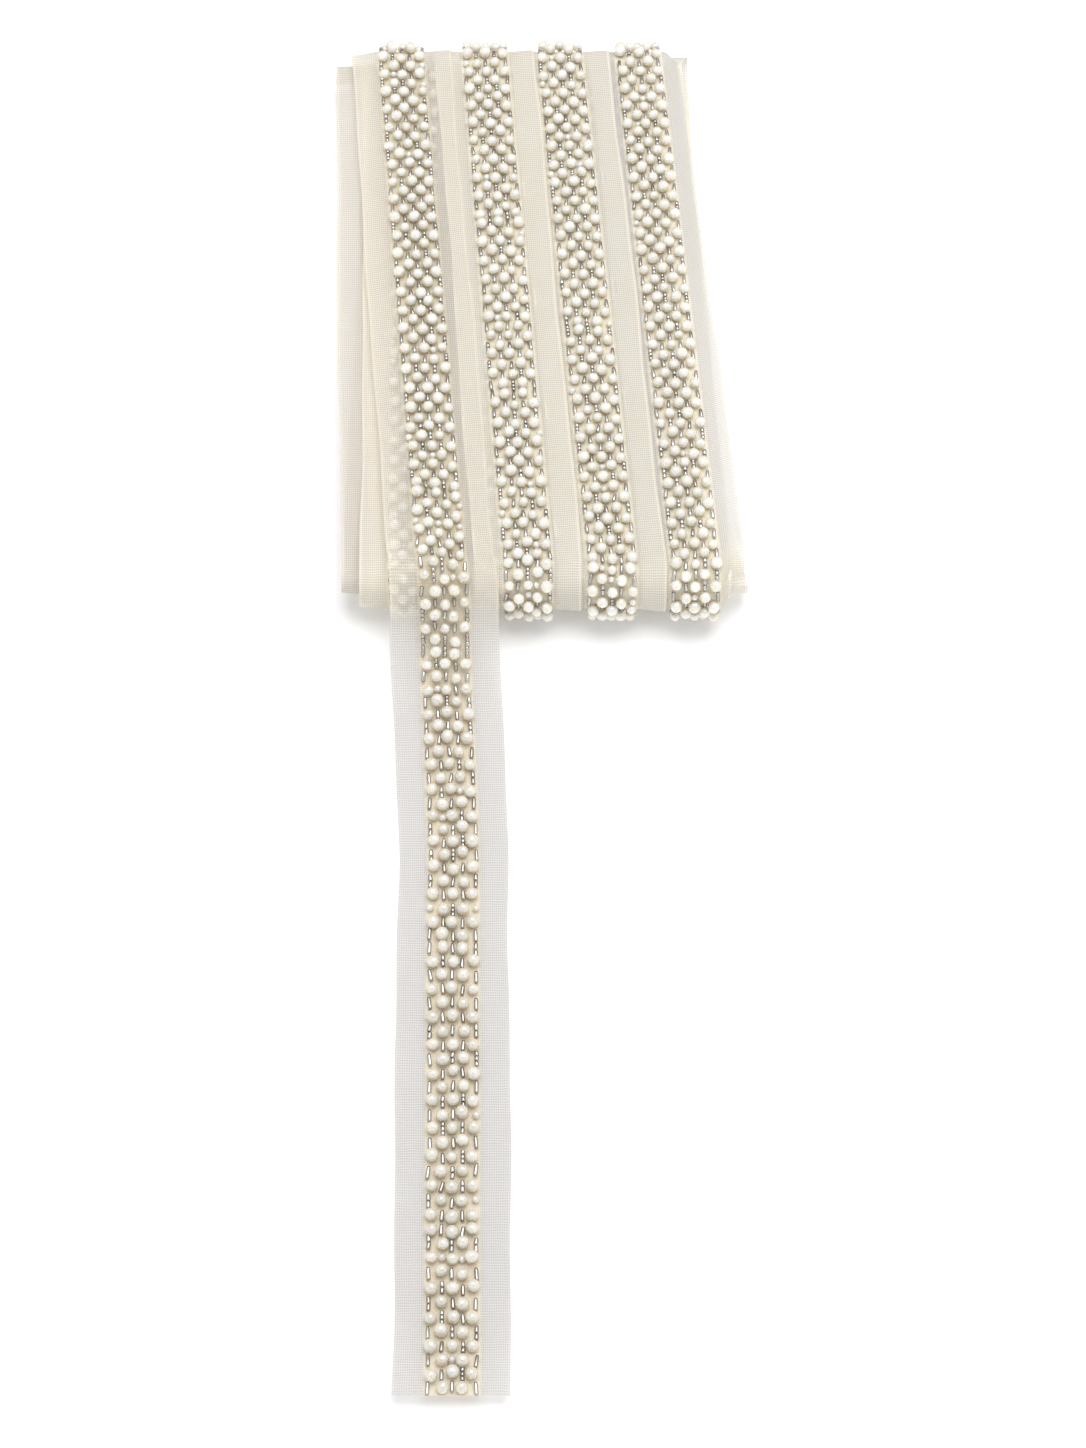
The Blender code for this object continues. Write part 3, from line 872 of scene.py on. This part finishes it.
def pearl_material():
    """Cream pearl: a soft lustre on a slightly lumpy face, with painted shade that turns it tan towards
    each bead's edge as seen.
    """
    made, nodes, shader = tree("cream_pearl")
    facing = node(nodes, "ShaderNodeLayerWeight")
    facing.inputs["Blend"].default_value = 0.35
    # Painted shade: tan towards each pearl's edge as seen.
    rim_shade = math_node(nodes, "POWER", facing.outputs["Facing"], 1.15)
    colour = mixed(nodes, rim_shade, ramp(nodes, tone_and_light_of(nodes), PEARL_TONES), PEARL_RIM_SHADE)
    nodes.links.new(colour, shader.inputs["Base Color"])
    shader.inputs["Roughness"].default_value = 0.3
    shader.inputs["Coat Weight"].default_value = 1.0
    shader.inputs["Coat Roughness"].default_value = 0.08
    shader.inputs["Coat IOR"].default_value = 1.9
    shader.inputs["Specular IOR Level"].default_value = 0.9
    shader.inputs["Subsurface Weight"].default_value = 1.0
    shader.inputs["Subsurface Radius"].default_value = (1.0, 0.85, 0.6)
    shader.inputs["Subsurface Scale"].default_value = 0.003
    bump(nodes, noise(nodes, 700.0, 2.0), 0.8, 0.0006, shader)
    return made


def bugle_material():
    """Silver-lined glass, its colour painted with reflection and shade: light along the middle of each
    bead, dark where it turns from the view.
    """
    made, nodes, shader = tree("silver_bugle")
    facing = node(nodes, "ShaderNodeLayerWeight")
    facing.inputs["Blend"].default_value = 0.5
    streaks = noise(nodes, 900.0, 2.0)
    # Painted reflection and shade: light along the middle of each bead and dark where it turns from the
    # view, with noise streaks, then shifted by the bead's random tint and its zone's painted light.
    shade = math_node(nodes, "MULTIPLY_ADD", streaks, 0.35, facing.outputs["Facing"])
    shade = math_node(nodes, "MULTIPLY_ADD", tone_and_light_of(nodes), 0.3, shade)
    nodes.links.new(ramp(nodes, shade, BUGLE_TONES_AND_PAINTED_SHEEN), shader.inputs["Base Color"])
    shader.inputs["Metallic"].default_value = 0.65
    shader.inputs["Roughness"].default_value = 0.25
    shader.inputs["Coat Weight"].default_value = 0.3
    shader.inputs["Coat Roughness"].default_value = 0.05
    return made


# Floor, light and camera, with the floor's and the light's sizes and places in metres
FLOOR_REACH = 3.0
FLOOR_BELOW = 0.00002
FLOOR_GLOW = 0.14
OVERHEAD_PLACE = (0.1, 0.3, 1.2)
OVERHEAD_TARGET = (0.0, 0.03, 0.0)
OVERHEAD_SIZE = 1.1
OVERHEAD_WATTS = 12.7
ROOM_LIGHT = 0.63
ROOM_LIGHT_FROM_THE_SIDES = 0.22
ROOM_LIGHT_FROM_THE_BACK = -0.42
SHADE_COSINES = (0.965, 0.86)
CAMERA_TARGET = Vector((2.4, -15.97, 0.0)) * MM
CAMERA_PLACE = Vector((2.4, -429.6, 777.9)) * MM
FOCAL_PIXELS = 3603
IMAGE_HEIGHT = 1448
SENSOR_HEIGHT = 36.0


def floor():
    """A pale matt surface that glows a little, so that it stays near white."""
    made, nodes, shader = tree("pale_floor")
    colour = ramp(nodes, noise(nodes, 60.0, 2.0), FLOOR_TONES)
    nodes.links.new(colour, shader.inputs["Base Color"])
    shader.inputs["Roughness"].default_value = 0.9
    nodes.links.new(colour, shader.inputs["Emission Color"])
    shader.inputs["Emission Strength"].default_value = FLOOR_GLOW
    mesh = bpy.data.meshes.new("floor")
    corners = [(x * FLOOR_REACH, y * FLOOR_REACH, 0) for x, y in ((-1, -1), (1, -1), (1, 1), (-1, 1))]
    mesh.from_pydata(corners, [], [(0, 1, 2, 3)])
    mesh.materials.append(made)
    obj = bpy.data.objects.new("floor", mesh)
    obj.location.z = -FLOOR_BELOW
    bpy.context.scene.collection.objects.link(obj)


def aim(obj, place, target):
    """Puts a light or a camera in its place, turned to its target."""
    obj.location = place
    obj.rotation_euler = (Vector(target) - Vector(place)).to_track_quat("-Z", "Y").to_euler()
    bpy.context.scene.collection.objects.link(obj)


def overhead_light():
    """A wide disk of light above the hank and a little beyond it."""
    light = bpy.data.lights.new("overhead", "AREA")
    light.shape = "DISK"
    light.size = OVERHEAD_SIZE
    light.energy = OVERHEAD_WATTS
    aim(bpy.data.objects.new("overhead", light), OVERHEAD_PLACE, OVERHEAD_TARGET)


def room():
    """Soft light from all round, more from the front and the sides, and none from round the camera,
    so that the beads mirror something dark there."""
    world = bpy.data.worlds.new("soft_room")
    world.use_nodes = True
    nodes = world.node_tree
    backdrop = nodes.nodes["Background"]
    direction = node(nodes, "ShaderNodeTexCoord").outputs["Generated"]
    parts = node(nodes, "ShaderNodeSeparateXYZ")
    nodes.links.new(direction, parts.inputs[0])
    x, y, z = (parts.outputs[name] for name in "XYZ")
    sight = (CAMERA_PLACE - CAMERA_TARGET).normalized()
    toward = math_node(nodes, "MULTIPLY_ADD", z, sight.z, math_node(nodes, "MULTIPLY", y, sight.y))
    shade = between(nodes, toward, *SHADE_COSINES)
    sideways = math_node(nodes, "MULTIPLY", x, x)
    glow = math_node(nodes, "MULTIPLY_ADD", sideways, ROOM_LIGHT_FROM_THE_SIDES, ROOM_LIGHT)
    glow = math_node(nodes, "MULTIPLY_ADD", y, ROOM_LIGHT_FROM_THE_BACK, glow)
    nodes.links.new(math_node(nodes, "MULTIPLY", glow, shade), backdrop.inputs["Strength"])
    backdrop.inputs["Color"].default_value = (1.0, 1.0, 1.0, 1.0)
    bpy.context.scene.world = world


def camera():
    """The photograph's view."""
    lens = bpy.data.cameras.new("camera")
    lens.sensor_fit = "VERTICAL"
    lens.sensor_height = SENSOR_HEIGHT
    lens.lens = FOCAL_PIXELS / IMAGE_HEIGHT * SENSOR_HEIGHT
    lens.clip_start = 0.01
    obj = bpy.data.objects.new("camera", lens)
    aim(obj, CAMERA_PLACE, CAMERA_TARGET)
    bpy.context.scene.camera = obj


def main():
    bpy.context.scene.view_settings.view_transform = "Standard"
    camera()
    overhead_light()
    room()
    floor()
    ribbon = net_ribbon(net_material())
    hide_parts("wound_ribbon", "loose_end")
    pearl_places, bugle_places = bead_places()
    _, front, loose, back = pearls(pearl_material(), pearl_places)
    bugles(bugle_material(), bugle_places)
    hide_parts(*[f"band_front_{i}" for i in range(1, 5)])
    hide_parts(*[f"band_back_{i}" for i in range(1, 6)])
    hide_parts("loose_end_band")


main()
